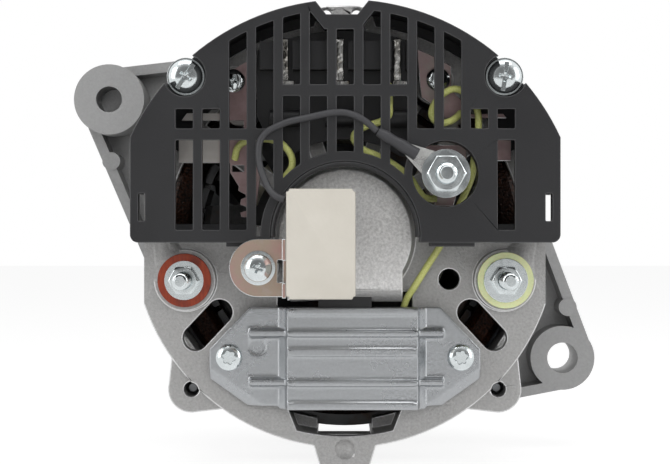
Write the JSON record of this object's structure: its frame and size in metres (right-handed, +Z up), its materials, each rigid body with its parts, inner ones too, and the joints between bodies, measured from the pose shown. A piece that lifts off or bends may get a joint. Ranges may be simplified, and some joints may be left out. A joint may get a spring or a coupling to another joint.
{
  "type": "engine alternator",
  "caption": "Claw-pole engine alternator with a half-moon grille cover, external regulator, suppression capacitor, cast mounting arms, fan and V-belt pulley.",
  "frame": {"origin": "on the rotor axis, in the middle plane of the pulley's belt groove", "axes": "+Y along the rotor towards the pulley nut, +Z up, +X to the right as seen from the rear"},
  "size_m": [0.1724, 0.1713, 0.1418],
  "materials": {
    "cover_plastic": "matte moulded",
    "zinc_steel": "bright zinc",
    "rear_casting": "rough die cast",
    "front_casting": "matte die cast",
    "regulator_casting": "satin die cast",
    "holder_plastic": "moulded",
    "brush_carbon": "dull carbon",
    "spring_steel": "plain",
    "capacitor_shell": "satin moulded",
    "passivated_sheet": "tinted plating",
    "lead_rubber": "matte",
    "tinned_metal": "tinned",
    "red_fibre": "satin",
    "pale_insulator": "translucent moulded",
    "sink_metal": "tinted sheet",
    "diode_metal": "plated",
    "wire_insulation": "satin",
    "laminations": "stacked sheet, varnished",
    "enamelled_copper": "varnished copper",
    "bearing_steel": "ground",
    "rotor_iron": "forged",
    "bobbin_plastic": "moulded",
    "slip_copper": "turned",
    "fan_steel": "zinc plated sheet",
    "pulley_steel": "zinc plated sheet"
  },
  "bodies": {
    "housing": {"rear_cover": "cover_plastic", "cover_screws": "zinc_steel", "rear_bracket": "rear_casting", "regulator_heatsink": "regulator_casting", "regulator_screws": "zinc_steel", "brush_holder": "holder_plastic", "brush_spring_inner": "spring_steel", "brush_spring_outer": "spring_steel", "capacitor_body": "capacitor_shell", "capacitor_bracket": "passivated_sheet", "capacitor_screw": "zinc_steel", "capacitor_lead": "lead_rubber", "lead_sleeve": "lead_rubber", "ring_terminal": "tinned_metal", "output_stud": "zinc_steel", "output_spacer": "zinc_steel", "output_nut": "zinc_steel", "exciter_insulator": "red_fibre", "exciter_stud": "zinc_steel", "exciter_nut": "zinc_steel", "phase_insulator": "pale_insulator", "phase_washer": "zinc_steel", "phase_stud": "zinc_steel", "phase_nut": "zinc_steel", "positive_heat_sink": "sink_metal", "negative_heat_sink": "sink_metal", "power_diodes": "diode_metal", "rectifier_board": "holder_plastic", "exciter_diodes": "holder_plastic", "phase_leads": "tinned_metal", "rectifier_screws": "zinc_steel", "regulator_lead": "wire_insulation", "rectifier_leads": "wire_insulation", "stator_core": "laminations", "stator_winding": "enamelled_copper", "through_bolts": "zinc_steel", "front_bracket": "front_casting", "front_bearing_outer": "bearing_steel", "bearing_retainer": "spring_steel", "retainer_screws": "zinc_steel", "rear_bearing_outer": "bearing_steel"},
    "rotor": {"rotor_shaft": "bearing_steel", "front_pole_claw": "rotor_iron", "rear_pole_claw": "rotor_iron", "field_coil": "enamelled_copper", "coil_bobbin": "bobbin_plastic", "slip_rings": "slip_copper", "slip_ring_insulator": "holder_plastic", "fan": "fan_steel", "pulley_front_half": "pulley_steel", "pulley_rear_half": "pulley_steel", "shaft_spacers": "bearing_steel", "lock_washer": "spring_steel", "pulley_nut": "zinc_steel", "front_bearing_inner": "bearing_steel", "rear_bearing_inner": "bearing_steel"},
    "front_balls": {"front_bearing_balls": "bearing_steel"},
    "rear_balls": {"rear_bearing_balls": "bearing_steel"},
    "inner_brush": {"brush_inner": "brush_carbon"},
    "outer_brush": {"brush_outer": "brush_carbon"}
  },
  "joints": [
    {"name": "rotor_spin", "type": "hinge", "parent": "housing", "child": "rotor", "pos_m": [0, 0, 0], "axis": [0, 1, 0], "continuous": true},
    {"name": "front_cage_spin", "type": "hinge", "parent": "housing", "child": "front_balls", "pos_m": [0, 0, 0], "axis": [0, 1, 0], "continuous": true},
    {"name": "rear_cage_spin", "type": "hinge", "parent": "housing", "child": "rear_balls", "pos_m": [0, 0, 0], "axis": [0, 1, 0], "continuous": true},
    {"name": "inner_brush_slide", "type": "slide", "parent": "housing", "child": "inner_brush", "axis": [0, 0, -1], "range_m": [0, 0.005], "stiffness_N_per_m": 300, "springref_m": -0.008, "deforming": ["brush_spring_inner"]},
    {"name": "outer_brush_slide", "type": "slide", "parent": "housing", "child": "outer_brush", "axis": [0, 0, -1], "range_m": [0, 0.005], "stiffness_N_per_m": 300, "springref_m": -0.008, "deforming": ["brush_spring_outer"]}
  ],
  "couplings": [
    {"joint": "front_cage_spin", "follows": "rotor_spin", "ratio": 0.36875},
    {"joint": "rear_cage_spin", "follows": "rotor_spin", "ratio": 0.38}
  ]
}
